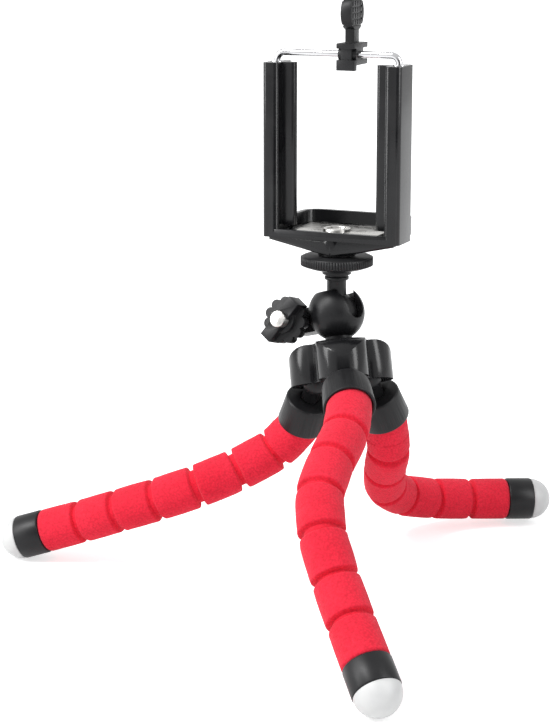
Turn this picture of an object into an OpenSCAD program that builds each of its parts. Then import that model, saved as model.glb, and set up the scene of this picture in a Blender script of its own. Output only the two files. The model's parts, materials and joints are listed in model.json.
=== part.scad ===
// Mini tripod with three bendable foam legs, a ball head and a sprung phone clip.
// Millimetres, +Z up. The clip's bar runs along X and the camera side of the clip faces -Y.
// The origin is on the floor, straight below the centre of the ball.

/* [Stance] */
// Height of the ball's centre above the floor
ball_height = 86.9; // [80:0.1:110]
// Turn of the hub and legs about the vertical, against the clip
hub_yaw = 23; // [0:1:60]
// Lean of the hub away from the camera side
hub_back = 20.4; // [0:0.1:25]
// Lean of the hub to its left
hub_side = 5.7; // [0:0.1:10]

/* [Phone clip] */
// Height of the clip's underside edge above the ball's centre
clip_rise = 24; // [22:0.1:30]
// Height of the two posts
post_height = 54.8; // [45:0.5:80]
// Outer width across both posts
clip_width = 46; // [42:0.1:60]
// Width of each post
post_width = 5.2; // [5.2:0.1:8]
// Depth of each post, front to back
post_depth = 12; // [8:0.1:14]
// Distance from the screw axis to the front face of the posts
clip_front = 6.5; // [4.6:0.1:8]
// How far each inner rail reaches in from its post
rail_reach = 4.3; // [2:0.1:6]
// Thickness of the inner rails
rail_thick = 3; // [2:0.1:4]
// Thickness of the tray's floor
floor_thick = 1.6; // [1.2:0.1:3]
// Height of the tray's front wall
front_wall = 2.6; // [2:0.1:6]
// Height of the tray's rear lip
lip_height = 5.6; // [3:0.1:12]
// Thickness of the tray's walls
tray_wall = 1.7; // [1.2:0.1:3]
// Distance from the screw axis to the back of the tray
tray_back = 21; // [16:0.5:30]
// Width of the tray behind the posts
tray_width = 38; // [34:0.5:44]
// Depth of the boss under the tray
boss_drop = 5.2; // [4:0.1:8]
// Diameter of the boss under the tray
boss_d = 12; // [11:0.1:16]

/* [Sliding bow] */
// Diameter of the steel rod
rod_d = 2.16; // [1.6:0.02:3]
// Bend radius of the rod's corners
rod_bend = 2.6; // [2:0.1:5]
// Height of the bar above the post tops, closed
bar_rise = 3; // [2.4:0.1:10]
// How far the rods reach down inside the posts
rod_reach = 46; // [40:0.5:50]
// Diameter of the spring bore in each post
spring_bore = 4.2; // [4:0.05:4.6]
// Length of the end stops on the rods
stop_length = 2.5; // [1.5:0.1:5]

/* [Claw] */
// Place of the claw along the bar
claw_x = 4; // [-12:0.5:12]
// Width of the claw block
claw_width = 6; // [5:0.1:9]
// Depth of the claw block, front to back
claw_depth = 11; // [9:0.1:16]
// Height of the claw block
claw_height = 6.7; // [5.6:0.1:9]
// Diameter of the claw's finger disc
disc_d = 10.8; // [8:0.1:14]
// Thickness of the finger disc
disc_thick = 3.5; // [2.4:0.1:5]
// Length of the neck under the disc
claw_neck = 4.4; // [3:0.1:8]

/* [Ball head] */
// Diameter of the ball
ball_d = 13.5; // [12:0.1:14]
// Diameter of the ball's housing
housing_d = 18; // [17:0.1:22]
// Diameter of the stem above the ball
stem_d = 6.2; // [5:0.1:7]
// Height of the stem's top above the ball's centre
stem_top = 13.9; // [13:0.1:16]
// Farthest tilt of the stem into the side slot
slot_tilt = 70; // [45:1:80]
// Diameter of the knurled wheel
wheel_d = 23; // [18:0.1:27]
// Thickness of the knurled wheel
wheel_thick = 4; // [3:0.1:4.2]
// Number of ribs round the wheel
wheel_ribs = 80; // [40:1:120]
// Diameter of the screw on top of the stem
screw_d = 6.35; // [6:0.01:6.4]

/* [Clamp] */
// Diameter of the clamp bolt
bolt_d = 5.2; // [4:0.1:6]
// Distance from the ball's centre to the clamp bolt
bolt_offset = 13; // [12.5:0.1:15]
// Thickness of each clamp ear
ear_thick = 2.8; // [2:0.1:4]
// Gap between the clamp ears
ear_gap = 1.4; // [0.8:0.1:2.5]
// Diameter over the knob's lobes
knob_d = 15; // [12:0.1:18]
// Length of the knob's wing
wing_length = 15.4; // [12:0.1:20]

/* [Hub] */
// Distance from the hub's axis to each lobe's axis
lobe_place = 9.8; // [9:0.1:12]
// Radius of each lobe
lobe_r = 7.9; // [7:0.1:9]
// Distance from the ball's centre down to the hub's top
hub_top = 9.8; // [7.5:0.1:12]
// Height of the hub
hub_height = 12.2; // [12:0.1:18]

/* [Legs] */
// Outer radius of the foam
foam_r = 7; // [5.5:0.1:8]
// Distance between two grooves of the foam
foam_pitch = 14.2; // [12:0.1:20]
// Length from the cap to the first groove
first_length = 13.4; // [10:0.1:18]
// Length from the last groove to the foot band
last_length = 13.6; // [10:0.1:18]
// Rounding of the foam's edges
foam_round = 1.2; // [0.4:0.1:1.8]
// Radius of the foam neck in each groove
neck_r = 5.4; // [4:0.1:6]
// Bend that each groove leaves room for
groove_bend = 24; // [10:1:30]
// Diameter of the wire core
wire_d = 3; // [1.5:0.1:4]
// Length from the ball socket to the leg cap
stud_neck = 7.2; // [6.5:0.1:10]
// Length of the leg cap
cap_length = 10.4; // [9:0.1:16]
// Radius of the leg cap at its lower edge
cap_r = 8.1; // [7.9:0.1:10]
// Radius of the ball on the leg stud
stud_ball_r = 4.2; // [3.6:0.1:4.6]
// Radius of the leg stud's neck
stud_r = 2.8; // [2:0.1:3.2]
// Radius of the foot band
band_r = 7.2; // [6:0.1:8.5]
// Length of the foot band
band_length = 8.8; // [7:0.1:14]

/* [Hidden] */
$fn = 64;

run_gap = 0.05;          // radial gap of a running fit
side_gap = 0.3;          // gap between pieces that pass each other
far = 60;                // longer than any cut needs
foam_red = [0.92, 0.16, 0.25];
black = [0.13, 0.13, 0.14];
steel = [0.78, 0.79, 0.8];

// Legs: the lobe's angle on the hub, then the compass angle and the drop below level of
// the cap and of each foam segment in turn
LEGS = ["left", "front", "right"];
lobe_turn = 3;
lobe_angles = [150 + lobe_turn, 270 + lobe_turn, 30 + lobe_turn];
leg_bends = [
    [[141, 60], [188, 48], [212, 27], [215, 20], [194, 21], [189, 20], [184, 21], [192, 18]],
    [[-61, 23], [-74, 22], [-86, 20], [-83, 26], [-63, 36], [-42, 49], [-45, 38], [-45, 36]],
    [[74, 59], [96, 65], [118, 41], [111, 42], [84, 28], [58, 14], [46, 7], [32, 2]]];
foam_count = 7;
pivot_rise = 1.2;        // leg ball's centre above the hub's underside
swing_in = 24;           // room for the leg to swing towards the hub's axis
swing_out = 6;           // room for the leg to swing away from it

// Vectors turned about one axis, and the way a leg piece points
function turn_x(v, a) = [v.x, v.y * cos(a) - v.z * sin(a), v.y * sin(a) + v.z * cos(a)];
function turn_y(v, a) = [v.x * cos(a) + v.z * sin(a), v.y, -v.x * sin(a) + v.z * cos(a)];
function turn_z(v, a) = [v.x * cos(a) - v.y * sin(a), v.x * sin(a) + v.y * cos(a), v.z];
function in_hub(v) = turn_z(turn_y(turn_x(v, -hub_back), -hub_side), hub_yaw);
function to_hub(v) = turn_x(turn_y(turn_z(v, -hub_yaw), hub_side), hub_back);
function heading(b) = [cos(b[1]) * cos(b[0]), cos(b[1]) * sin(b[0]), -sin(b[1])];
ball_centre = [0, 0, ball_height];
hub_bottom = hub_top + hub_height;
function leg_pivot(leg) = ball_centre + in_hub([lobe_place * cos(lobe_angles[leg]),
    lobe_place * sin(lobe_angles[leg]), pivot_rise - hub_bottom]);
cap_end = stud_neck + cap_length;
function piece_length(k) = k == 0 ? cap_end : k == 1 ? first_length : k == foam_count ? last_length : foam_pitch;
// The upper end of piece k of a leg: 0 is the stud and cap, 1 to 7 the foam segments
function piece_start(leg, k) = k == 0 ? leg_pivot(leg)
    : piece_start(leg, k - 1) + piece_length(k - 1) * heading(leg_bends[leg][k - 1]);
function foot_start(leg) = piece_start(leg, foam_count) + last_length * heading(leg_bends[leg][foam_count]);

// Clip places, in the clip's own frame: origin on the screw axis at the clip's underside edge
post_x = (clip_width - post_width) / 2;
post_y = post_depth / 2 - clip_front;
bar_z = post_height + bar_rise;
spring_top = post_height - 4.2;
rod_bottom = post_height - rod_reach;
plate_thick = 0.6;
plate_half = 14.6;
plate_back = 14;
nut_d = 8.8;
nut_rise = 1.1;
nut_drop = 2.6;
bush_d = spring_bore - 0.2;
bush_depth = 2.5;
wheel_low = clip_rise - boss_drop - side_gap - wheel_thick;
post_round = 1.5;
tray_round = 6;

// Moves its children's frame to the hub, to the clip, or along a leg piece
module at_hub() { translate(ball_centre) rotate([0, 0, hub_yaw]) rotate([0, -hub_side, 0])
    rotate([-hub_back, 0, 0]) children(); }
module at_clip() { translate(ball_centre + [0, 0, clip_rise]) children(); }
module pointing(place, way) { translate(place) rotate([0, acos(way.z / norm(way)), atan2(way.y, way.x)])
    children(); }
module along(leg, k) { pointing(piece_start(leg, k), heading(leg_bends[leg][k])) children(); }

module rounded_box(low, high, r) {
    translate([low.x + r, low.y]) square([high.x - low.x - 2 * r, high.y - low.y]);
    translate([low.x, low.y + r]) square([high.x - low.x, high.y - low.y - 2 * r]);
    for (x = [low.x + r, high.x - r], y = [low.y + r, high.y - r]) translate([x, y]) circle(r);
}
module both_posts() { for (s = [-1, 1]) translate([s * post_x, post_y]) children(); }

// Hub with three lobes and a socket for each leg
module hub() {
    top_round = 6.5;
    reach = lobe_place + lobe_r - 0.1;
    color(black) difference() {
        at_hub() difference() {
            intersection() {
                translate([0, 0, -hub_bottom]) union() {
                    cylinder(r = lobe_place - 0.6, h = hub_height);
                    for (a = lobe_angles) rotate(a) translate([lobe_place, 0]) cylinder(r = lobe_r, h = hub_height);
                }
                translate([0, 0, -hub_bottom]) rotate_extrude() {
                    square([reach - top_round, hub_height]);
                    square([reach, hub_height - top_round]);
                    translate([reach - top_round, hub_height - top_round]) intersection() {
                        circle(top_round);
                        square(top_round);
                    }
                }
            }
            translate([0, 0, -hub_top - spigot_length - run_gap]) cylinder(d = spigot_d + 2 * run_gap, h = far);
            translate([0, 0, -hub_bottom - 1]) cylinder(d = hub_screw_d + 0.2, h = far);
            translate([0, 0, -hub_bottom - 1]) cylinder(d = hub_screw_head + 0.4, h = 1 + hub_screw_sink);
        }
        for (leg = [0 : 2]) {
            way = to_hub(heading(leg_bends[leg][0]));
            translate(leg_pivot(leg) - ball_centre) at_hub() rotate(atan2(way.y, way.x)) {
                sphere(stud_ball_r + run_gap);
                swing_room(acos(-way.z));
            }
        }
    }
}
// Room for a stud's neck to swing in the hub's socket, either side of the angle at which it stands
module swing_room(splay) {
    w = stud_r + side_gap;
    low = splay - swing_in;
    high = splay + swing_out;
    rotate([90, 0, 0]) linear_extrude(2 * w, center = true) polygon([
        -w * [cos(low), sin(low)], far * [sin(low), -cos(low)] - w * [cos(low), sin(low)],
        far * [sin(high), -cos(high)] + w * [cos(high), sin(high)], w * [cos(high), sin(high)]]);
}
spigot_d = 7;
spigot_length = 4.5;
hub_screw_d = 3;
hub_screw_head = 5.6;
hub_screw_sink = 3;
// Screw that holds the ball housing on the hub
module hub_screw() { color(steel) at_hub() difference() {
    union() {
        translate([0, 0, hub_screw_sink - hub_bottom - 2]) cylinder(d = hub_screw_head, h = 2);
        translate([0, 0, hub_screw_sink - hub_bottom - 1]) cylinder(d = hub_screw_d, h = hub_height - hub_screw_sink - 1);
    }
    translate([0, 0, hub_screw_sink - hub_bottom - 3]) cylinder(d = 2.5, h = 2, $fn = 6);
} }

// Ball housing: cup with an open top, a side slot for the stem and a split clamp on the other side
module ball_housing() {
    ear_top = 4;
    color(black) difference() {
        at_hub() difference() {
            union() {
                sphere(d = housing_d);
                translate([0, 0, -hub_top]) cylinder(d = neck_d, h = hub_top);
                translate([0, 0, -hub_top - spigot_length]) cylinder(d = spigot_d, h = spigot_length + 1);
                rotate(ear_angle) translate([0, 0, bolt_drop]) rotate([90, 0, 0])
                    translate([0, 0, -ear_thick - ear_gap / 2]) linear_extrude(2 * ear_thick + ear_gap) {
                        translate([housing_d / 4, -ear_top]) square([bolt_offset - housing_d / 4, 2 * ear_top]);
                        translate([bolt_offset, 0]) circle(ear_top);
                    }
            }
            sphere(d = ball_d + 2 * run_gap);
            cylinder(r = mouth_r, h = far);
            rotate(ear_angle) translate([0, -ear_gap / 2, -housing_d / 4]) cube([far, ear_gap, far]);
            rotate(ear_angle) translate([bolt_offset, 0, bolt_drop]) rotate([90, 0, 0])
                cylinder(d = bolt_d + 2 * run_gap, h = far, center = true);
            translate([0, 0, -hub_top - spigot_length - 1]) cylinder(d = hub_screw_d, h = spigot_length + 1);
        }
        translate(ball_centre) rotate(slot_angle) stem_path();
    }
}
neck_d = 8.6;
mouth_r = ball_d / 2 - 0.45;
ear_angle = 152;
bolt_drop = -1.3;
slot_angle = -17;
// Room for the stem between upright and fully tilted
module stem_path() {
    w = stem_d / 2 + side_gap;
    rotate([90, 0, 0]) linear_extrude(2 * w, center = true)
        polygon([[0, 0], [far * sin(slot_tilt), far * cos(slot_tilt)], [far, far], [0, far]]);
    rotate([0, slot_tilt, 0]) cylinder(r = w, h = far);
}

// Clamp bolt through the ears, its head behind them
module clamp_bolt() {
    color(steel) at_hub() rotate(ear_angle) translate([bolt_offset, 0, bolt_drop]) rotate([-90, 0, 0])
        translate([0, 0, -ear_thick - ear_gap / 2 - bolt_head]) {
            cylinder(d = bolt_d + 3, h = bolt_head, $fn = 6);
            cylinder(d = bolt_d, h = bolt_head + 2 * ear_thick + ear_gap + bolt_reach);
        }
}
bolt_head = 2.4;
bolt_reach = 12;

// Lobed knob with a wing across its face, threaded on the bolt by a narrow nose that clears the housing
module clamp_knob() {
    lobe_count = 11;
    lobe = 1.8;
    nose = 4.2;
    disc = 3;
    wing = 4.2;
    wing_tilt = 41;
    color(black) at_hub() rotate(ear_angle) translate([bolt_offset, 0, bolt_drop]) rotate([-90, 0, 0])
        translate([0, 0, ear_thick + ear_gap / 2 + side_gap]) difference() {
            union() {
                cylinder(d = bolt_d + 2.4, h = nose + 1);
                translate([0, 0, nose]) {
                    linear_extrude(disc) {
                        circle(knob_d / 2 - lobe);
                        for (a = [0 : 360 / lobe_count : 359]) rotate(a) translate([knob_d / 2 - lobe, 0]) circle(lobe);
                    }
                    rotate(wing_tilt) translate([-wing_length / 2, -wing / 2, 0])
                        cube([wing_length, wing, disc + 3.2]);
                    cylinder(d = bolt_d + 3.4, h = disc + 1.6);
                }
            }
            translate([0, 0, -1]) cylinder(d = bolt_d + 2 * run_gap, h = far);
        }
}

// Ball with its stem
module ball_stem() {
    color(black) translate(ball_centre) difference() {
        union() {
            sphere(d = ball_d);
            cylinder(d = stem_d, h = stem_top);
            translate([0, 0, stem_top - 3]) cylinder(d = stem_d + 1.5, h = 1);
            translate([0, 0, stem_top - 1.3]) cylinder(d = stem_d + 3, h = 1.3);
        }
        translate([0, 0, stem_top - shank_length]) cylinder(d = shank_d, h = far);
    }
}
shank_d = 4;
shank_length = 8;

// Screw in the stem that carries the wheel and the clip
module mount_screw() {
    top = clip_rise + floor_thick + plate_thick + nut_rise - 0.4;
    color(steel) translate(ball_centre) {
        translate([0, 0, stem_top - shank_length]) cylinder(d = shank_d, h = shank_length);
        translate([0, 0, stem_top]) cylinder(d = screw_d, h = top - stem_top);
    }
}

// Knurled wheel that locks the clip on the screw
module lock_wheel() {
    rib = 0.45;
    chamfer = 1;
    r = wheel_d / 2;
    color(black) translate(ball_centre + [0, 0, wheel_low]) difference() {
        intersection() {
            linear_extrude(wheel_thick) polygon([for (i = [0 : 2 * wheel_ribs - 1])
                (r - rib * (i % 2)) * [cos(180 * i / wheel_ribs), sin(180 * i / wheel_ribs)]]);
            rotate_extrude() polygon([[0, 0], [r - 3 * chamfer, 0], [r + 1, 4 * chamfer / 3],
                [r + 1, wheel_thick - 1.5], [r - 0.5, wheel_thick], [0, wheel_thick]]);
        }
        translate([0, 0, -1]) cylinder(d = screw_d + 2 * run_gap, h = far);
    }
}

// Outline of the tray with the posts' feet
module tray_outline(inset) {
    rounded_box([-clip_width / 2 + inset, -clip_front + inset], [clip_width / 2 - inset,
        post_depth - clip_front - inset], post_round);
    rounded_box([-tray_width / 2 + inset, -clip_front + inset], [tray_width / 2 - inset, tray_back - inset],
        tray_round - inset);
}
// Posts, inner rails, tray floor, front wall and rear lip
module clip_frame() {
    inner = clip_width / 2 - post_width;
    color(black) at_clip() difference() {
        union() {
            linear_extrude(floor_thick) tray_outline(0);
            linear_extrude(lip_height) difference() {
                tray_outline(0);
                tray_outline(tray_wall);
                translate([-far, -far]) square([2 * far, far + post_depth - clip_front - 0.5]);
            }
            translate([-inner - 1, -clip_front]) cube([2 * inner + 2, tray_wall, front_wall]);
            both_posts() linear_extrude(post_height) translate([0, -post_y]) rounded_box(
                [-post_width / 2, -clip_front], [post_width / 2, post_depth - clip_front], post_round);
            for (s = [0, 1]) mirror([s, 0, 0]) translate([0, 0, front_wall + 1]) linear_extrude(
                post_height - front_wall - 1) rounded_box([inner - rail_reach, post_y - rail_thick / 2 - 0.4],
                [inner + 1.2, post_y + rail_thick / 2 - 0.4], rail_thick / 2 - 0.1);
        }
        both_posts() {
            translate([0, 0, -1]) cylinder(d = spring_bore, h = spring_top + 1);
            cylinder(d = rod_d + 0.4, h = far * 2);
            translate([0, 0, post_height - bush_depth]) cylinder(d = bush_d, h = far);
        }
        translate([0, 0, -1]) cylinder(d = nut_d + 0.2, h = far);
    }
}

// Underside: a shallow hull that closes the posts' bores and ends in the screw boss
module clip_under_cover() {
    edge = 0.8;
    hull_drop = 4.6;
    cover_in = 5;
    color(black) at_clip() difference() {
        union() {
            hull() {
                translate([0, 0, -edge]) linear_extrude(edge) square([clip_width - 4, 2 * clip_front - 2], center = true);
                translate([0, post_y + tray_back / 2 - 2, -edge]) linear_extrude(edge)
                    square([tray_width - 2 * cover_in, tray_back - cover_in], center = true);
                translate([0, 0, -hull_drop]) cylinder(d = boss_d, h = 1, $fn = 32);
            }
            translate([0, 0, -boss_drop]) cylinder(d = boss_d, h = boss_drop);
        }
        translate([0, 0, -nut_drop - 0.1]) cylinder(d = nut_d + 0.2, h = far);
        translate([0, 0, -far]) cylinder(d = screw_d + 2 * run_gap, h = far * 2);
    }
}

// Steel plate on the tray's floor with the threaded nut in its middle
module thread_plate() {
    color(steel) at_clip() difference() {
        union() {
            translate([0, 0, floor_thick]) linear_extrude(plate_thick)
                rounded_box([-plate_half, tray_wall - clip_front + side_gap], [plate_half, plate_back], 2);
            translate([0, 0, -nut_drop]) cylinder(d = nut_d, h = nut_drop + floor_thick + plate_thick + nut_rise);
        }
        translate([0, 0, -nut_drop - 1]) cylinder(d = screw_d + 2 * run_gap, h = far);
    }
}

// Guide bushes that line the rod holes in the post tops
module rod_bushes() {
    color(steel) at_clip() both_posts() translate([0, 0, post_height - bush_depth]) difference() {
        cylinder(d = bush_d, h = bush_depth + 0.3);
        translate([0, 0, -1]) cylinder(d = rod_d + 2 * run_gap, h = far);
    }
}

// Bent steel rod: two legs in the posts and the bar across the top
module slide_bow() {
    color(steel) at_clip() translate([0, post_y, 0]) {
        for (s = [0, 1]) mirror([s, 0, 0]) {
            translate([post_x, 0, rod_bottom]) cylinder(d = rod_d, h = bar_z - rod_bend - rod_bottom);
            translate([post_x - rod_bend, 0, bar_z - rod_bend]) rotate([90, 0, 0])
                rotate_extrude(angle = 90) translate([rod_bend, 0]) circle(d = rod_d);
        }
        translate([rod_bend - post_x, 0, bar_z]) rotate([0, 90, 0])
            cylinder(d = rod_d, h = 2 * (post_x - rod_bend));
    }
}

// Stops pressed on the ends of the rods, which the springs push down
module bow_stops() {
    color(steel) at_clip() both_posts() translate([0, 0, rod_bottom - 0.6]) difference() {
        cylinder(d = spring_bore - 0.3, h = stop_length);
        translate([0, 0, 0.6]) cylinder(d = rod_d, h = far);
    }
}

// Return springs round the rods, hidden in the posts
module bow_springs() {
    color(steel) at_clip() both_posts() translate([0, 0, rod_bottom - 0.6 + stop_length]) difference() {
        cylinder(d = spring_bore - 0.3, h = spring_top - rod_bottom + 0.6 - stop_length);
        translate([0, 0, -1]) cylinder(d = rod_d + 0.4, h = far * 2);
    }
}

// Claw on the bar: an I-shaped block with a nub under its front edge and a finger disc on a neck
module claw() {
    flange = 1.6;
    web = 3.6;
    front = -3.5;
    low = -3.3;
    color(black) at_clip() translate([claw_x, post_y, bar_z]) difference() {
        union() {
            for (z = [low, low + claw_height - flange]) translate([-claw_width / 2, front, z])
                cube([claw_width, claw_depth, flange]);
            translate([-web / 2, front + 0.6, low]) cube([web, claw_depth - 1.2, claw_height]);
            rotate([0, 90, 0]) cylinder(d = rod_d + 2.6, h = claw_width, center = true);
            translate([-claw_width / 2, front, low - 1.6]) cube([claw_width, 2, 2]);
            translate([-1.5, front + claw_depth / 2 - 2, low + claw_height - 0.2])
                cube([3, 4, claw_neck + 1.2]);
            translate([0, front + claw_depth / 2, low + claw_height + claw_neck + disc_d / 2 - 0.6])
                rotate([0, 90, 0]) cylinder(d = disc_d, h = disc_thick, center = true);
        }
        rotate([0, 90, 0]) cylinder(d = rod_d + 2 * run_gap, h = far, center = true);
        for (s = [-1, 1], i = [-2 : 2], across = [0, 1])
            translate([s * disc_thick / 2, front + claw_depth / 2, low + claw_height + claw_neck + disc_d / 2 - 0.6])
                rotate([across * 90, 0, 0]) translate([0, i * 1.9, 0]) cube([0.6, 0.5, disc_d - 3], center = true);
    }
}

// Ball stud of a leg: the ball sits in the hub's socket, the pin in the cap
module leg_stud(leg) {
    color(black) along(leg, 0) {
        sphere(stud_ball_r);
        cylinder(r = stud_r, h = stud_neck + pin_depth);
    }
}
pin_depth = 3.6;

// Cap between the stud and the foam: one turned piece with a pin hole above and a cup below
module leg_cap(leg) {
    color(black) along(leg, 0) rotate_extrude() difference() {
        polygon([[0, stud_neck], [cap_r - 0.9, stud_neck], [cap_r - 0.5, stud_neck + 0.4], [cap_r, cap_end], [0, cap_end]]);
        square([stud_r + run_gap, stud_neck + pin_depth + 0.2]);
        square([wire_bore / 2, far]);
        intersection() {
            translate([0, cap_end]) circle(foam_r + 0.15);
            translate([0, cup_floor]) square(far);
        }
    }
}
cup_floor = cap_end - 4;
wire_bore = wire_d + 0.3;

// Wire core of a leg, from the cap to the foot
module leg_wire(leg) {
    color(steel) {
        along(leg, 0) translate([0, 0, stud_neck + pin_depth + 0.3])
            cylinder(d = wire_d, h = cap_end - stud_neck - pin_depth - 0.3);
        for (k = [1 : foam_count]) {
            translate(piece_start(leg, k)) sphere(d = wire_d + 0.2);
            along(leg, k) cylinder(d = wire_d, h = piece_length(k) + (k == foam_count ? 4 : 0));
        }
    }
}

// Angle between piece k and the next one down the leg
function bend_after(leg, k) = acos(min(1, heading(leg_bends[leg][k]) * heading(leg_bends[leg][k + 1])));
// One foam segment: a turned barrel with a ball at its upper groove and a socket at its lower one
module foam_segment(leg, k) {
    length = piece_length(k);
    first = k == 1;
    last = k == foam_count;
    bend_up = bend_after(leg, k - 1);
    slope_up = tan((groove_bend + bend_up) / 2);
    slope_down = last ? 0 : tan((groove_bend + bend_after(leg, k)) / 2);
    color(foam_red) difference() {
        along(leg, k) rotate_extrude() difference() {
            union() {
                difference() {
                    translate([0, first ? 0 : -groove_half]) rounded_side(length + (first ? 0 : groove_half)
                        + (last ? 0 : groove_half));
                    if (!first) polygon([[0, 0], [far, far * slope_up], [far, -far], [0, -far]]);
                    if (!last) translate([0, length]) {
                        polygon([[0, 0], [far, -far * slope_down], [far, far], [0, far]]);
                        circle(neck_r + side_gap);
                    }
                }
                intersection() {
                    circle(first ? foam_r - 0.25 : neck_r);
                    translate([0, -far]) square([far, 2 * far]);
                }
            }
            square([wire_bore / 2, far]);
            polygon([[0, 0], [wire_bore / 2, 0.2], [wire_bore / 2 + far * tan(bend_up + 2), -far], [0, -far]]);
        }
        if (first) along(leg, 0) cylinder(r = far, h = cup_floor + 0.1);
    }
}
groove_half = 0.2;
module rounded_side(h) {
    square([foam_r - foam_round, h]);
    translate([0, foam_round]) square([foam_r, h - 2 * foam_round]);
    for (z = [foam_round, h - foam_round]) translate([foam_r - foam_round, z]) intersection() {
        circle(foam_round);
        translate([0, -foam_round]) square([foam_round, 2 * foam_round]);
    }
}

// Band at the foot of a leg, and its rubber tip
module foot_band(leg) {
    color(black) pointing(foot_start(leg), heading(leg_bends[leg][foam_count])) difference() {
        cylinder(r = band_r, h = band_length);
        translate([0, 0, -1]) cylinder(d = wire_bore, h = 5.2);
        translate([0, 0, band_length - plug_length - 0.1]) cylinder(d = plug_d + 2 * run_gap, h = far);
    }
}
plug_d = 6;
plug_length = 3;
module foot_tip(leg) {
    color([0.9, 0.9, 0.88]) pointing(foot_start(leg), heading(leg_bends[leg][foam_count]))
        translate([0, 0, band_length]) {
            intersection() {
                sphere(band_r - 0.2);
                cylinder(r = far, h = far);
            }
            translate([0, 0, -plug_length]) cylinder(d = plug_d, h = plug_length + 1);
        }
}

hub();
hub_screw();
ball_housing();
clamp_bolt();
clamp_knob();
ball_stem();
mount_screw();
lock_wheel();
clip_frame();
clip_under_cover();
thread_plate();
rod_bushes();
slide_bow();
bow_stops();
bow_springs();
claw();
for (leg = [0 : 2]) {
    leg_stud(leg);
    leg_cap(leg);
    leg_wire(leg);
    for (k = [1 : foam_count])
        foam_segment(leg, k);
    foot_band(leg);
    foot_tip(leg);
}
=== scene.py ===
# %% [markdown]
# A mini tripod with bendable foam legs, a clamped ball head and a sprung phone clip. The imported CAD model
# is the fixed frame: every piece below sits where the frame says, and all but the middle foam and wire pieces
# ride on one of its bodies. Lengths are in metres unless a name ends in _mm.

# %% Load the frame
import json
import math

import bmesh
import bpy
import numpy as np
from mathutils import Matrix, Vector, noise


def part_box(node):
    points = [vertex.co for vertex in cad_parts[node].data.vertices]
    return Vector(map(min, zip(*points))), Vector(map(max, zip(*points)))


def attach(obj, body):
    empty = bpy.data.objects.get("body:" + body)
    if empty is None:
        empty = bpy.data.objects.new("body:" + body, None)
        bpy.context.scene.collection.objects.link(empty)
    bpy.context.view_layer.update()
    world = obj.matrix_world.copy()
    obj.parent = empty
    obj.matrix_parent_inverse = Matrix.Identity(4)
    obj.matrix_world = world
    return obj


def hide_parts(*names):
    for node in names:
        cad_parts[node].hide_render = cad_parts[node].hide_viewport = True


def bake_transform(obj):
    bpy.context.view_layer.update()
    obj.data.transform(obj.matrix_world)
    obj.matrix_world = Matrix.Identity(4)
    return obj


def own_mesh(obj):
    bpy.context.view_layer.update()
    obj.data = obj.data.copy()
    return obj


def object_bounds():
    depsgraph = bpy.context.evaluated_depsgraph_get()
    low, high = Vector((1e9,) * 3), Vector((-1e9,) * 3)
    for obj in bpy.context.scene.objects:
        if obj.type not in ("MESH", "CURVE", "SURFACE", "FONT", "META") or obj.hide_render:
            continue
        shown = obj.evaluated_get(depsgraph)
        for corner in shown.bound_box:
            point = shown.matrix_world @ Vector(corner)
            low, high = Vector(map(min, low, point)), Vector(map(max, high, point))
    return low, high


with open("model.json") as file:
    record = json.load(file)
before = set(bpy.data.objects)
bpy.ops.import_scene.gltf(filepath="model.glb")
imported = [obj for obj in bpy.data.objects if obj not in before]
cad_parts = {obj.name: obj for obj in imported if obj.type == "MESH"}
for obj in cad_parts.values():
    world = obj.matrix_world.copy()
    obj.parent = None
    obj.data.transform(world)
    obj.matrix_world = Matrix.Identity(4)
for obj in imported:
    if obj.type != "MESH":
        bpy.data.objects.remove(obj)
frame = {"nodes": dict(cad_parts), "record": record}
cad_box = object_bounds()
scene = bpy.context.scene
MM = 0.001
node_body = {node: body for body, nodes in frame["record"]["behaviour"]["bodies"].items() for node in nodes}
node_slot = {entry["node"]: entry["material_slot"] for entry in frame["record"]["subparts"]}
joints = {joint["name"]: joint for joint in frame["record"]["behaviour"]["joints"]}

# %% [markdown]
# The camera stands where the photographer stood: a long lens, slightly above the head and a little to the
# right of the clip's front. The place was found by fitting marks on the legs' centre lines and the clip's
# corners to the picture.

# %% Camera
FOCAL_PX, PICTURE_HEIGHT_PX = 2009, 722
camera_data = bpy.data.cameras.new("camera")
camera_data.sensor_width = 36
camera_data.lens = FOCAL_PX / PICTURE_HEIGHT_PX * camera_data.sensor_width
camera_data.shift_y = -0.0572
camera = bpy.data.objects.new("camera", camera_data)
camera.location = (0.2368, -0.5780, 0.2166)
camera.rotation_euler = Vector((-0.3990, 0.8933, -0.2068)).to_track_quat("-Z", "Y").to_euler()
scene.collection.objects.link(camera)
scene.camera = camera
print("lens", round(camera_data.lens, 1), "mm")

# %% [markdown]
# The object was shot on white. The world is plain white for the camera and for reflections, and a softer
# grey for the light that falls on the surfaces. The floor is a white sheet that glows for the camera, so
# that only the shadow close to the feet is left on it. A sun gives that shadow a direction, and two panels
# that only show in reflections draw the highlights on the glossy plastic. A dark card round the camera,
# seen in reflections alone, gives the chrome and the plastic the dark middle that a dark room behind the
# lens gives them.

# %% Light
FLOOR_DROP = 0.2 * MM
CARD_HALF_WIDTH, CARD_HALF_HEIGHT, CARD_BEHIND = 300 * MM, 160 * MM, 30 * MM
scene.view_settings.view_transform = "Standard"


def seen_directly(tree):
    """A value that is 1 for camera, glossy and transmission rays."""
    path = tree.nodes.new("ShaderNodeLightPath")
    total = path.outputs["Is Camera Ray"]
    for kind in ("Is Glossy Ray", "Is Transmission Ray"):
        most = tree.nodes.new("ShaderNodeMath")
        most.operation = "MAXIMUM"
        tree.links.new(total, most.inputs[0])
        tree.links.new(path.outputs[kind], most.inputs[1])
        total = most.outputs[0]
    return total


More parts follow.
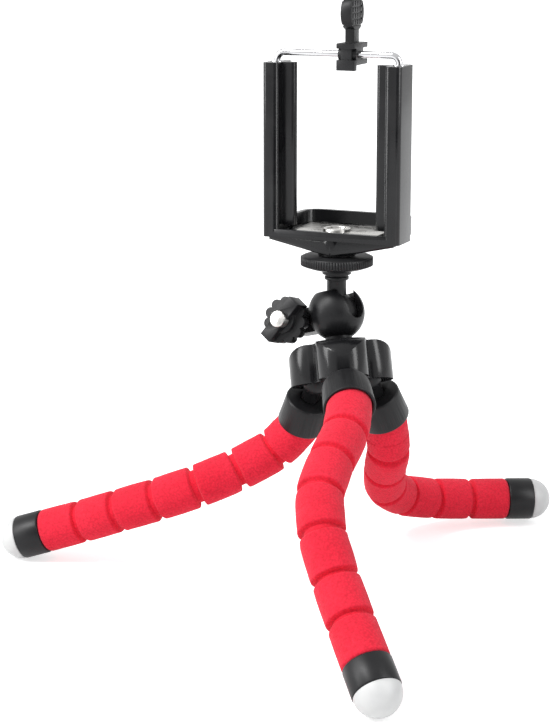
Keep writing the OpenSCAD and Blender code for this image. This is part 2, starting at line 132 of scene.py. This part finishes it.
world = bpy.data.worlds.new("white_studio")
scene.world = world
world.use_nodes = True
sky = world.node_tree
sky.nodes.clear()
sky_out = sky.nodes.new("ShaderNodeOutputWorld")
sky_mix = sky.nodes.new("ShaderNodeMixShader")
soft_light, plain_white = (sky.nodes.new("ShaderNodeBackground") for _ in range(2))
soft_light.inputs["Color"].default_value = (0.97, 0.985, 1, 1)
soft_light.inputs["Strength"].default_value = 0.74
plain_white.inputs["Color"].default_value = (1, 1, 1, 1)
sky.links.new(seen_directly(sky), sky_mix.inputs[0])
sky.links.new(soft_light.outputs[0], sky_mix.inputs[1])
sky.links.new(plain_white.outputs[0], sky_mix.inputs[2])
sky.links.new(sky_mix.outputs[0], sky_out.inputs["Surface"])

sun_data = bpy.data.lights.new("key_sun", "SUN")
sun_data.energy = 2.0
sun_data.angle = math.radians(18)
sun = bpy.data.objects.new("key_sun", sun_data)
sun.rotation_euler = Vector((0.42, 0.55, -0.9)).to_track_quat("-Z", "Y").to_euler()
scene.collection.objects.link(sun)


def highlight_panel(name, place, size, strength):
    """A lamp that shows only in reflections, aimed at the head."""
    data = bpy.data.lights.new(name, "AREA")
    data.shape = "RECTANGLE"
    data.size, data.size_y = size
    data.energy = strength
    lamp = bpy.data.objects.new(name, data)
    lamp.location = place
    lamp.rotation_euler = (Vector((0, 0, 0.1)) - Vector(place)).to_track_quat("-Z", "Y").to_euler()
    lamp.visible_diffuse = False
    scene.collection.objects.link(lamp)


highlight_panel("left_panel", (-0.75, -0.55, 0.55), (0.35, 0.8), 9)
highlight_panel("right_panel", (0.9, -0.15, 0.6), (0.3, 0.8), 6)

floor_mesh = bpy.data.meshes.new("floor")
floor_mesh.from_pydata([(-6, -6, 0), (6, -6, 0), (6, 6, 0), (-6, 6, 0)], [], [(0, 1, 2, 3)])
floor = bpy.data.objects.new("floor", floor_mesh)
floor.location.z = cad_box[0].z - FLOOR_DROP
scene.collection.objects.link(floor)
paper = bpy.data.materials.new("white_paper")
paper.use_nodes = True
sheet = paper.node_tree
sheet.nodes.clear()
sheet_out = sheet.nodes.new("ShaderNodeOutputMaterial")
diffuse = sheet.nodes.new("ShaderNodeBsdfDiffuse")
diffuse.inputs["Color"].default_value = (0.86, 0.86, 0.86, 1)
glow = sheet.nodes.new("ShaderNodeEmission")
glow.inputs["Color"].default_value = (1, 1, 1, 1)
lift = sheet.nodes.new("ShaderNodeMath")
lift.operation = "MULTIPLY"
lift.inputs[1].default_value = 0.6
both = sheet.nodes.new("ShaderNodeAddShader")
sheet.links.new(seen_directly(sheet), lift.inputs[0])
sheet.links.new(lift.outputs[0], glow.inputs["Strength"])
sheet.links.new(diffuse.outputs[0], both.inputs[0])
sheet.links.new(glow.outputs[0], both.inputs[1])
sheet.links.new(both.outputs[0], sheet_out.inputs["Surface"])
floor_mesh.materials.append(paper)

card_mesh = bpy.data.meshes.new("dark_card")
card_corners = [(across * CARD_HALF_WIDTH, up * CARD_HALF_HEIGHT, 0)
                for across, up in ((-1, -1), (1, -1), (1, 1), (-1, 1))]
card_mesh.from_pydata(card_corners, [], [(0, 1, 2, 3)])
card = bpy.data.objects.new("dark_card", card_mesh)
camera_place = Matrix.LocRotScale(camera.location, camera.rotation_euler, None)
card.matrix_world = camera_place @ Matrix.Translation((0, 0, CARD_BEHIND))
card.visible_camera = card.visible_diffuse = card.visible_shadow = card.visible_transmission = False
scene.collection.objects.link(card)
felt = bpy.data.materials.new("dark_felt")
felt.use_nodes = True
felt.node_tree.nodes["Principled BSDF"].inputs["Base Color"].default_value = (0.03, 0.03, 0.03, 1)
card_mesh.materials.append(felt)
print("floor at", round(floor.location.z / MM, 2), "mm")

# %% [markdown]
# Three shader groups hold effects that several finishes share. Grain is a fine noise that varies colour,
# roughness and height. Pores are the small open cells of the foam, with a depth for the bump and a painted
# shade that darkens their hollows. Edge polish finds outer edges by how sharply the surface turns, where
# handling rubs plastic a little lighter. Each group gives only values, and the shader itself stays in the
# material.

# %% Shader groups


def value_group(name, inputs, outputs):
    """An empty shader group with number inputs and outputs."""
    group = bpy.data.node_groups.new(name, "ShaderNodeTree")
    for label, value in inputs:
        socket = group.interface.new_socket(label, in_out="INPUT", socket_type="NodeSocketFloat")
        socket.default_value = value
    for label in outputs:
        group.interface.new_socket(label, in_out="OUTPUT", socket_type="NodeSocketFloat")
    return group, group.nodes.new("NodeGroupInput"), group.nodes.new("NodeGroupOutput")


def noise_texture(tree, source, scale, detail=4, roughness=0.55):
    """Noise on Object coordinates, its scale set by a number or by a socket."""
    texture = tree.nodes.new("ShaderNodeTexNoise")
    tree.links.new(source, texture.inputs["Vector"])
    if isinstance(scale, (int, float)):
        texture.inputs["Scale"].default_value = scale
    else:
        tree.links.new(scale, texture.inputs["Scale"])
    texture.inputs["Detail"].default_value = detail
    texture.inputs["Roughness"].default_value = roughness
    return texture.outputs["Fac"]


def math_node(tree, operation, first, second):
    """A Math node with each side a number or a socket."""
    step = tree.nodes.new("ShaderNodeMath")
    step.operation = operation
    for place, value in enumerate((first, second)):
        if isinstance(value, (int, float)):
            step.inputs[place].default_value = value
        else:
            tree.links.new(value, step.inputs[place])
    return step.outputs[0]


grain, grain_in, grain_out = value_group("grain", [("Fine Scale", 2500), ("Broad Scale", 90)],
                                         ["Fine", "Broad"])
grain_place = grain.nodes.new("ShaderNodeTexCoord").outputs["Object"]
for label, detail in (("Fine", 3), ("Broad", 5)):
    grain.links.new(noise_texture(grain, grain_place, grain_in.outputs[label + " Scale"], detail),
                    grain_out.inputs[label])

pores, pores_in, pores_out = value_group("pores", [("Cell Scale", 1500), ("Fuzz Scale", 5200)],
                                         ["Depth", "Shade"])
pores_place = pores.nodes.new("ShaderNodeTexCoord").outputs["Object"]
cells = pores.nodes.new("ShaderNodeTexVoronoi")
cells.feature = "F1"
pores.links.new(pores_place, cells.inputs["Vector"])
pores.links.new(pores_in.outputs["Cell Scale"], cells.inputs["Scale"])
fuzz = noise_texture(pores, pores_place, pores_in.outputs["Fuzz Scale"], 4, 0.65)
cell_depth = math_node(pores, "MULTIPLY", cells.outputs["Distance"], 0.75)
pores.links.new(math_node(pores, "SUBTRACT", math_node(pores, "MULTIPLY", fuzz, 0.9), cell_depth),
                pores_out.inputs["Depth"])
# Painted shade: the Shade output grows towards the cell edges, where the bump sinks, so the pore hollows get
# darker.
shade = math_node(pores, "MULTIPLY", fuzz, cells.outputs["Distance"])
pores.links.new(math_node(pores, "MULTIPLY", shade, 1.6), pores_out.inputs["Shade"])

edge_polish, polish_in, polish_out = value_group("edge_polish", [("Start", 0.53), ("End", 0.62)], ["Mask"])
turning = edge_polish.nodes.new("ShaderNodeNewGeometry").outputs["Pointiness"]
span = edge_polish.nodes.new("ShaderNodeMapRange")
edge_polish.links.new(turning, span.inputs["Value"])
edge_polish.links.new(polish_in.outputs["Start"], span.inputs["From Min"])
edge_polish.links.new(polish_in.outputs["End"], span.inputs["From Max"])
edge_polish.links.new(span.outputs["Result"], polish_out.inputs["Mask"])
print("groups", [group.name for group in (grain, pores, edge_polish)])

# %% [markdown]
# Each finish is one material with the detail of the real one: moulded black plastic, glossy on the hub and
# clip and satin on the caps and knobs, bright red closed cell foam, white translucent rubber, chrome rod,
# nickel plated steel and soft aluminium wire. Colour and roughness vary over the surface, and a bump gives
# the grain.

# %% Finishes


def placed(tree, group, **values):
    """A shader group placed in a material with its own values."""
    node = tree.nodes.new("ShaderNodeGroup")
    node.node_tree = group
    for label, value in values.items():
        node.inputs[label.replace("_", " ")].default_value = value
    return node


def spread(tree, value, low, high, from_low=0.3, from_high=0.7):
    """A noise value spread between two numbers."""
    span = tree.nodes.new("ShaderNodeMapRange")
    tree.links.new(value, span.inputs["Value"])
    for label, number in (("From Min", from_low), ("From Max", from_high), ("To Min", low), ("To Max", high)):
        span.inputs[label].default_value = number
    return span.outputs["Result"]


def tone(tree, value, dark, light):
    """A colour between two tones."""
    mix = tree.nodes.new("ShaderNodeMix")
    mix.data_type = "RGBA"
    tree.links.new(value, mix.inputs["Factor"])
    mix.inputs[6].default_value = (*dark, 1)
    mix.inputs[7].default_value = (*light, 1)
    return mix.outputs[2]


def bump(tree, height, strength, distance):
    """A Bump node's normal from a height."""
    node = tree.nodes.new("ShaderNodeBump")
    node.inputs["Strength"].default_value = strength
    node.inputs["Distance"].default_value = distance
    tree.links.new(height, node.inputs["Height"])
    return node.outputs["Normal"]


def new_finish(name, **sockets):
    """A material with one Principled shader, its plain sockets set directly."""
    material = bpy.data.materials.new(name)
    material.use_nodes = True
    shader = material.node_tree.nodes["Principled BSDF"]
    for label, value in sockets.items():
        shader.inputs[label.replace("_", " ")].default_value = value
    return material, material.node_tree, shader


def grained(name, dark, light, roughness, fine_scale, broad_scale, depth, rubbed=None, **sockets):
    """Plastic, rubber or metal with a fine grain and, where it is rubbed, lighter edges."""
    material, tree, shader = new_finish(name, **sockets)
    marks = placed(tree, grain, Fine_Scale=fine_scale, Broad_Scale=broad_scale)
    colour = tone(tree, spread(tree, marks.outputs["Broad"], 0, 1), dark, light)
    if rubbed:
        worn = placed(tree, edge_polish)
        amount = math_node(tree, "MULTIPLY", worn.outputs["Mask"], marks.outputs["Broad"])
        mix = tree.nodes.new("ShaderNodeMix")
        mix.data_type = "RGBA"
        tree.links.new(amount, mix.inputs["Factor"])
        tree.links.new(colour, mix.inputs[6])
        mix.inputs[7].default_value = (*rubbed, 1)
        colour = mix.outputs[2]
    tree.links.new(colour, shader.inputs["Base Color"])
    tree.links.new(spread(tree, marks.outputs["Broad"], *roughness), shader.inputs["Roughness"])
    tree.links.new(bump(tree, marks.outputs["Fine"], 0.35, depth), shader.inputs["Normal"])
    return material


finishes = {
    "gloss_plastic": grained("glossy_black_plastic", (0.006, 0.006, 0.007), (0.011, 0.011, 0.012),
                             (0.16, 0.26), 1400, 120, 0.00002, rubbed=(0.035, 0.035, 0.037),
                             Specular_IOR_Level=0.3),
    "satin_plastic": grained("satin_black_plastic", (0.008, 0.008, 0.009), (0.013, 0.013, 0.014), (0.34, 0.46),
                             2600, 140, 0.00004, rubbed=(0.04, 0.04, 0.042), Specular_IOR_Level=0.22),
    "tip": grained("white_translucent_rubber", (0.66, 0.66, 0.66), (0.73, 0.73, 0.72), (0.38, 0.5), 1800, 160,
                   0.00003, Subsurface_Weight=0.35, Subsurface_Radius=(0.004, 0.004, 0.004),
                   Subsurface_Scale=1),
    "chrome": grained("chrome_rod", (0.5, 0.5, 0.51), (0.62, 0.62, 0.63), (0.05, 0.12), 900, 200, 0.000004,
                      Metallic=1),
    "steel": grained("nickel_steel", (0.5, 0.49, 0.47), (0.64, 0.63, 0.61), (0.2, 0.38), 1600, 260, 0.00001,
                     Metallic=1),
    "wire": grained("soft_aluminium_wire", (0.55, 0.55, 0.56), (0.7, 0.7, 0.71), (0.3, 0.45), 1500, 200,
                    0.00001, Metallic=1),
}

foam, foam_tree, foam_shader = new_finish("red_foam", Specular_IOR_Level=0.22, Sheen_Weight=0.25,
                                          Sheen_Roughness=0.5, Sheen_Tint=(1, 0.35, 0.4, 1))
cell = placed(foam_tree, pores)
patch = placed(foam_tree, grain, Fine_Scale=700, Broad_Scale=60)
skin = tone(foam_tree, spread(foam_tree, patch.outputs["Broad"], 0, 1),
            (0.86, 0.014, 0.042), (0.96, 0.024, 0.06))
# Painted shade: the foam colour is darkened towards a deep red in the pore hollows.
shaded = foam_tree.nodes.new("ShaderNodeMix")
shaded.data_type = "RGBA"
foam_tree.links.new(spread(foam_tree, cell.outputs["Shade"], 0, 0.55, 0.15, 0.75), shaded.inputs["Factor"])
foam_tree.links.new(skin, shaded.inputs[6])
shaded.inputs[7].default_value = (0.5, 0.004, 0.018, 1)
foam_tree.links.new(shaded.outputs[2], foam_shader.inputs["Base Color"])
foam_tree.links.new(spread(foam_tree, patch.outputs["Fine"], 0.78, 0.92), foam_shader.inputs["Roughness"])
foam_tree.links.new(bump(foam_tree, cell.outputs["Depth"], 0.6, 0.00022), foam_shader.inputs["Normal"])
finishes["foam"] = foam
print("finishes", sorted(finishes))

# %% [markdown]
# Most hard pieces keep the CAD shape, but moulded plastic has no razor edges. A copy of the CAD mesh is
# merged, its flat faces are joined, a Bevel modifier rounds every sharp edge a little, and the result
# stands for the node.

# %% Softened copies of the moulded pieces


def settle(obj):
    """Turns what the modifiers make into a plain mesh."""
    bpy.context.view_layer.update()
    evaluated = obj.evaluated_get(bpy.context.evaluated_depsgraph_get())
    mesh = bpy.data.meshes.new_from_object(evaluated)
    obj.modifiers.clear()
    obj.data = mesh
    return obj


def add_piece(name, mesh, slot):
    """A new piece that takes one of the record's finishes."""
    obj = bpy.data.objects.new(name, mesh)
    scene.collection.objects.link(obj)
    mesh.materials.append(finishes[slot])
    return obj


def smooth_shade(mesh, angle):
    """Smooth faces with edges kept sharp above an angle in degrees."""
    mesh.polygons.foreach_set("use_smooth", [True] * len(mesh.polygons))
    mesh.set_sharp_from_angle(angle=math.radians(angle))


def soften(node, edge_mm, segments=2, sharp=35):
    """A merged copy of a CAD node with rounded edges."""
    source = frame["nodes"][node]
    shell = bmesh.new()
    shell.from_mesh(source.data)
    shell.transform(source.matrix_world)
    bmesh.ops.remove_doubles(shell, verts=shell.verts, dist=2e-6)
    bmesh.ops.dissolve_limit(shell, angle_limit=math.radians(0.5), verts=shell.verts, edges=shell.edges)
    mesh = bpy.data.meshes.new(node + "_soft")
    shell.to_mesh(mesh)
    shell.free()
    obj = bpy.data.objects.new(node + "_soft", mesh)
    scene.collection.objects.link(obj)
    if edge_mm:
        rounding = obj.modifiers.new("rounding", "BEVEL")
        rounding.width = edge_mm * MM
        rounding.segments = segments
        rounding.limit_method = "ANGLE"
        rounding.angle_limit = math.radians(sharp)
        rounding.use_clamp_overlap = True
    settle(obj)
    obj.data.name = node + "_soft"
    obj.data.materials.clear()
    obj.data.materials.append(finishes[node_slot[node]])
    smooth_shade(obj.data, sharp)
    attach(obj, node_body[node])
    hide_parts(node)
    return obj


LEGS = ("left", "front", "right")
edges_mm = {"hub": 0.5, "ball_housing": 0.3, "clamp_knob": 0.35, "clamp_bolt": 0.35, "ball_stem": 0.2,
            "mount_screw": 0.3, "clip_frame": 0.3, "clip_under_cover": 0.3, "thread_plate": 0.15, "claw": 0.25,
            "hub_screw": 0.2, "rod_bushes": 0.1, "bow_stops": 0.2, "slide_bow": 0}
for leg in LEGS:
    edges_mm.update({leg + "_stud": 0, leg + "_cap": 0.45, leg + "_band": 0.45, leg + "_tip": 0.2})
for node, edge_mm in edges_mm.items():
    soften(node, edge_mm)
print("softened", len(edges_mm), "pieces")

# %% [markdown]
# Geometry Nodes build what repeats or follows a path. A small class makes an empty tree with named inputs,
# and a function sets the modifier's inputs by their sockets' identifiers and keeps the mesh that comes out.

# %% Geometry Nodes helpers
SOCKETS = {"int": "NodeSocketInt", "float": "NodeSocketFloat", "material": "NodeSocketMaterial"}


class Tree:
    """A Geometry Nodes tree with short ways to add and join nodes."""

    def __init__(self, name, **inputs):
        self.group = bpy.data.node_groups.new(name, "GeometryNodeTree")
        self.group.interface.new_socket("Geometry", in_out="INPUT", socket_type="NodeSocketGeometry")
        for label, kind in inputs.items():
            self.group.interface.new_socket(label.replace("_", " "), in_out="INPUT",
                                            socket_type=SOCKETS[kind])
        self.group.interface.new_socket("Geometry", in_out="OUTPUT", socket_type="NodeSocketGeometry")
        self.start = self.group.nodes.new("NodeGroupInput")
        self.end = self.group.nodes.new("NodeGroupOutput")

    def add(self, kind, settings=None, **links):
        """A node with its inputs linked to sockets or set to plain values."""
        node = self.group.nodes.new(kind)
        for key, value in (settings or {}).items():
            setattr(node, key, value)
        for label, value in links.items():
            socket = node.inputs[label.replace("_", " ")]
            if isinstance(value, bpy.types.NodeSocket):
                self.group.links.new(value, socket)
            else:
                socket.default_value = value
        return node

    def finish(self, geometry, smooth=True):
        """Realises instances, shades the faces and sets the material."""
        whole = self.add("GeometryNodeRealizeInstances", Geometry=geometry)
        shaded = self.add("GeometryNodeSetShadeSmooth", Geometry=whole.outputs[0], Shade_Smooth=smooth)
        painted = self.add("GeometryNodeSetMaterial", Geometry=shaded.outputs[0],
                           Material=self.start.outputs["Material"])
        self.group.links.new(painted.outputs[0], self.end.inputs["Geometry"])


def grown(name, tree, mesh, slot, place=Matrix.Identity(4), **values):
    """A plain mesh made by a tree on a base mesh, moved to its place."""
    obj = bpy.data.objects.new(name, mesh)
    scene.collection.objects.link(obj)
    modifier = obj.modifiers.new(tree.group.name, "NODES")
    modifier.node_group = tree.group
    values["Material"] = finishes[slot]
    for item in tree.group.interface.items_tree:
        label = item.name.replace(" ", "_")
        if item.item_type == "SOCKET" and item.in_out == "INPUT" and label in values:
            modifier[item.identifier] = values[label]
    settle(obj)
    obj.data.transform(place)
    obj.data.name = name
    return obj


print("tree helper ready")

# %% [markdown]
# The foam sleeve of a leg is one soft tube with grooves, threaded on a wire. It is swept along the leg's
# centre line, which is straight in the middle of each link and bends round its groove. The radius follows a
# rule: full on the barrels, with tight round shoulders down to a neck in each groove. One sleeve piece
# reaches from the middle of a link to the middle of the next. The end pieces ride on the first and last
# links, and the middle ones stay where they are built.

# %% Centre line of a leg
FOAM_R_MM, NECK_R_MM = 7.1, 5.4
SHOULDER_MM, FLOOR_HALF_MM = 1.0, 0.85
BEND_HALF = 4.6 * MM
CAP_END = 17.6 * MM
LAST_LINK = 13.6 * MM
STEP = 0.2 * MM
GROOVES = 6
CROWN_MM, BARREL_HALF_MM = 0.1, 7
LINE_IN_CAP = 5 * MM
ARC_STEPS = 24


def leg_corners(leg):
    """The points that the centre line runs through: inside the cap, cap end, grooves, foot."""
    pivot = Vector(joints[leg + "_swing"]["pos_m"])
    cap_way = Vector(joints[leg + "_turn"]["axis"]).normalized()
    grooves = [Vector(joints[f"{leg}_bend_{k}"]["pos_m"]) for k in range(1, GROOVES + 1)]
    low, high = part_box(leg + "_band")
    foot_way = ((Vector(low) + Vector(high)) / 2 - grooves[-1]).normalized()
    cap_end = pivot + CAP_END * cap_way
    return [cap_end - LINE_IN_CAP * cap_way, cap_end, *grooves, grooves[-1] + LAST_LINK * foot_way]


def centre_line(corners):
    """Points along the rounded line, their distances, and the distance of each corner's middle."""
    points, marks = [corners[0]], []
    for before, corner, after in zip(corners, corners[1:], corners[2:]):
        start = corner + BEND_HALF * (before - corner).normalized()
        end = corner + BEND_HALF * (after - corner).normalized()
        for i in range(ARC_STEPS + 1):
            t = i / ARC_STEPS
            points.append((1 - t) ** 2 * start + 2 * t * (1 - t) * corner + t * t * end)
            if i == ARC_STEPS // 2:
                marks.append(len(points) - 1)
    points.append(corners[-1])
    line = np.array([tuple(p) for p in points])
    along = np.concatenate([[0], np.cumsum(np.linalg.norm(np.diff(line, axis=0), axis=1))])
    return line, along, along[marks]


def sleeve_radius(s, grooves):
    """The foam's radius at a distance along the leg."""
    gap = np.min(np.abs(np.asarray(s)[:, None] - grooves[None, :]), axis=1) / MM
    t = np.clip((gap - FLOOR_HALF_MM) / SHOULDER_MM, 0, 1)
    radius = NECK_R_MM + (FOAM_R_MM - CROWN_MM - NECK_R_MM) * (1 - (1 - t) ** 4) ** 0.5
    return (radius + CROWN_MM * np.clip(gap / BARREL_HALF_MM, 0, 1)) * MM


paths = {leg: centre_line(leg_corners(leg)) for leg in LEGS}
print({leg: round(float(path[1][-1] / MM), 1) for leg, path in paths.items()})

# %% Sleeve tree
sleeve = Tree("sleeve", Sides="int", Material="material")
sleeve_line = sleeve.add("GeometryNodeMeshToCurve", Mesh=sleeve.start.outputs["Geometry"])
ring_scale = sleeve.add("GeometryNodeInputNamedAttribute", Name="ring_radius")
ring = sleeve.add("GeometryNodeCurvePrimitiveCircle", Resolution=sleeve.start.outputs["Sides"], Radius=1.0)
tube = sleeve.add("GeometryNodeCurveToMesh", Curve=sleeve_line.outputs[0], Profile_Curve=ring.outputs[0],
                  Scale=ring_scale.outputs["Attribute"], Fill_Caps=True)
sleeve.finish(tube.outputs[0])


def swept(name, line, radii, slot, sides):
    """A closed tube along a line of points with one radius at each."""
    mesh = bpy.data.meshes.new(name)
    mesh.from_pydata([tuple(p) for p in line], [(i, i + 1) for i in range(len(line) - 1)], [])
    attribute = mesh.attributes.new("ring_radius", "FLOAT", "POINT")
    attribute.data.foreach_set("value", np.asarray(radii, np.float32))
    return grown(name, sleeve, mesh, slot, Sides=sides)


SEAM_REACH = 7.6 * MM


def roughen(obj, depth, frequency, seams, fade):
    """Moves the skin in and out a little, less and less towards the middle points of its two end rings."""
    mesh = obj.data
    normals = [v.normal.copy() for v in mesh.vertices]
    for vertex, normal in zip(mesh.vertices, normals):
        near = min((vertex.co - seam).length for seam in seams)
        strength = max(0.0, min(1.0, (near - SEAM_REACH) / fade))
        vertex.co += normal * depth * strength * noise.noise(vertex.co * frequency)


def sample(path, distances):
    """Points of the centre line at given distances."""
    line, along, _ = path
    return np.stack([np.interp(distances, along, line[:, i]) for i in range(3)], axis=1)


print("sleeve tree ready")

# %% Foam and wire of the three legs
WIRE_R = 1.5 * MM
SLEEVE_IN_CAP, TUCKED_R, TUCK_RISE = 3.2 * MM, 5.6 * MM, 1.4 * MM
FOOT_END_R, FOOT_ROUND = 6.2 * MM, 0.8 * MM
SLEEVE_SIDES, CORE_SIDES = 44, 10
for leg in LEGS:
    path = paths[leg]
    marks = path[2]
    grooves = marks[1:]
    cap_mark, end = marks[0], path[1][-1]
    cuts = [cap_mark - SLEEVE_IN_CAP, cap_mark + (grooves[0] - cap_mark) / 2,
            *((grooves[:-1] + grooves[1:]) / 2), grooves[-1] + (end - grooves[-1]) / 2, end]
    for k in range(GROOVES + 2):
        distances = np.linspace(cuts[k], cuts[k + 1], max(8, int((cuts[k + 1] - cuts[k]) / STEP)))
        line = sample(path, distances)
        radii = sleeve_radius(distances, grooves)
        if k == 0:
            radii = np.minimum(radii, TUCKED_R + np.clip(distances - cuts[0], 0, TUCK_RISE))
        if k == GROOVES + 1:
            radii = np.minimum(radii, FOOT_END_R + np.sqrt(np.clip(end - distances, 0, None) * FOOT_ROUND))
        barrel = swept(f"{leg}_sleeve_{k}", line, radii, "foam", SLEEVE_SIDES)
        seams = [Vector(line[0]), Vector(line[-1])]
        roughen(barrel, 0.16 * MM, 420, seams, 1.5 * MM)
        core = swept(f"{leg}_core_{k}", line, np.full(len(line), WIRE_R), "wire", CORE_SIDES)
        for piece in (barrel, core):
            if 1 <= k <= GROOVES:
                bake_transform(piece)
            else:
                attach(piece, f"{leg}_link_{1 if k == 0 else GROOVES + 1}")
        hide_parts(f"{leg}_foam_{max(1, min(GROOVES + 1, k))}")
        if k == 0:
            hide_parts(leg + "_wire")
    print(leg, "sleeve pieces", GROOVES + 2, "length", round(float((end - cap_mark) / MM), 1), "mm")

# %% [markdown]
# The locking wheel is gripped by its rim, which has a ring of small upright ribs. The wheel's body is
# turned from a profile, and the ribs are copies of one small bar on the points of a circle, each turned to
# face outwards.

# %% Locking wheel
WHEEL_R, WHEEL_THICK, WHEEL_BORE, WHEEL_SIDES = 11.15 * MM, 4 * MM, 3.225 * MM, 96
RIB_R, RIB_LENGTH, RIB_MIDDLE, RIB_COUNT = 0.32 * MM, 2.5 * MM, 2.35 * MM, 80
wheel_low = Vector((0, 0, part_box("lock_wheel")[0][2]))


def turned(name, profile, sides):
    """A closed solid of revolution about Z from (radius, height) points listed round its section."""
    shell = bmesh.new()
    rings = []
    angles = [2 * math.pi * i / sides for i in range(sides)]
    for radius, height in profile:
        rings.append([shell.verts.new((radius * math.cos(a), radius * math.sin(a), height)) for a in angles])
    for ring_a, ring_b in zip(rings, rings[1:] + rings[:1]):
        for i in range(sides):
            j = (i + 1) % sides
            shell.faces.new((ring_a[i], ring_a[j], ring_b[j], ring_b[i]))
    bmesh.ops.recalc_face_normals(shell, faces=shell.faces)
    mesh = bpy.data.meshes.new(name)
    shell.to_mesh(mesh)
    shell.free()
    return mesh


wheel_profile = [(WHEEL_BORE, 0), (8.1 * MM, 0), (8.5 * MM, 0.05 * MM), (10.7 * MM, 0.8 * MM),
                 (WHEEL_R, 1.2 * MM), (WHEEL_R, 3.4 * MM), (10.95 * MM, 3.8 * MM), (10.5 * MM, WHEEL_THICK),
                 (WHEEL_BORE, WHEEL_THICK)]
wheel = add_piece("wheel_body", turned("wheel_body", wheel_profile, WHEEL_SIDES), "satin_plastic")
wheel.data.transform(Matrix.Translation(wheel_low))
smooth_shade(wheel.data, 40)

ribs = Tree("rim_ribs", Count="int", Ring_Radius="float", Rib_Radius="float", Rib_Length="float",
            Material="material")
rim = ribs.add("GeometryNodeMeshCircle", Vertices=ribs.start.outputs["Count"],
               Radius=ribs.start.outputs["Ring Radius"])
bar = ribs.add("GeometryNodeMeshCylinder", {"fill_type": "NGON"}, Vertices=8, Side_Segments=1,
               Radius=ribs.start.outputs["Rib Radius"], Depth=ribs.start.outputs["Rib Length"])
outward = ribs.add("FunctionNodeAlignRotationToVector", {"axis": "X"},
                   Vector=ribs.add("GeometryNodeInputPosition").outputs[0])
bars = ribs.add("GeometryNodeInstanceOnPoints", Points=rim.outputs[0], Instance=bar.outputs[0],
                Rotation=outward.outputs[0])
ribs.finish(bars.outputs[0])
wheel_ribs = grown("wheel_ribs", ribs, bpy.data.meshes.new("wheel_ribs"), "satin_plastic",
                   Matrix.Translation(wheel_low + Vector((0, 0, RIB_MIDDLE))), Count=RIB_COUNT,
                   Ring_Radius=WHEEL_R, Rib_Radius=RIB_R, Rib_Length=RIB_LENGTH)
for piece in (wheel, wheel_ribs):
    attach(piece, "wheel")
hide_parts("lock_wheel")
print("wheel ribs", len(wheel_ribs.data.polygons), "faces")

# %% [markdown]
# Screw threads and springs are the same rule: a wire wound on a cylinder. One tree sweeps a small profile
# along a spiral. A close pitch makes the thread on the clamp bolt, and an open pitch the return springs in
# the posts. On the real clip these shorten as the bow is pulled out; here they keep one length and ride with
# the clip.

# %% Threads and springs
THREAD_START, THREAD_LENGTH, THREAD_R, THREAD_TURNS = 11.4 * MM, 2.8 * MM, 2.34 * MM, 4.0
SPRING_R, SPRING_IN, SPRING_TURNS = 1.6 * MM, 1.95 * MM, 16.0
STRAND_R, STRAND_SIDES = 0.3 * MM, 6
winding = Tree("winding", Turns="float", Winding_Radius="float", Height="float", Wire_Radius="float",
               Sides="int", Material="material")
spiral = winding.add("GeometryNodeCurveSpiral", Resolution=20, Rotations=winding.start.outputs["Turns"],
                     Start_Radius=winding.start.outputs["Winding Radius"],
                     End_Radius=winding.start.outputs["Winding Radius"],
                     Height=winding.start.outputs["Height"])
strand = winding.add("GeometryNodeCurvePrimitiveCircle", Resolution=winding.start.outputs["Sides"],
                     Radius=winding.start.outputs["Wire Radius"])
coil = winding.add("GeometryNodeCurveToMesh", Curve=spiral.outputs[0], Profile_Curve=strand.outputs[0],
                   Fill_Caps=True)
winding.finish(coil.outputs[0])

knob_joint = joints["clamp_knob_turn"]
bolt_way = Vector(knob_joint["axis"]).normalized()
bolt_turn = bolt_way.to_track_quat("Z", "Y").to_matrix().to_4x4()
bolt_frame = Matrix.Translation(Vector(knob_joint["pos_m"])) @ bolt_turn
bolt_thread = grown("bolt_thread", winding, bpy.data.meshes.new("bolt_thread"), "steel",
                    bolt_frame @ Matrix.Translation((0, 0, THREAD_START)), Turns=THREAD_TURNS,
                    Winding_Radius=THREAD_R, Height=THREAD_LENGTH, Wire_Radius=STRAND_R, Sides=STRAND_SIDES)
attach(bolt_thread, "hub")

spring_low, spring_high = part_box("bow_springs")
spring_length = spring_high[2] - spring_low[2]
for side, x in (("left", spring_low[0] + SPRING_IN), ("right", spring_high[0] - SPRING_IN)):
    place = Matrix.Translation((x, (spring_low[1] + spring_high[1]) / 2, spring_low[2]))
    spring = grown(side + "_spring", winding, bpy.data.meshes.new(side + "_spring"), "chrome", place,
                   Turns=SPRING_TURNS, Winding_Radius=SPRING_R, Height=spring_length, Wire_Radius=STRAND_R,
                   Sides=STRAND_SIDES)
    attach(spring, "clip")
    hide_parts("bow_springs")
    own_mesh(spring)
print("spring length", round(spring_length / MM, 1), "mm")
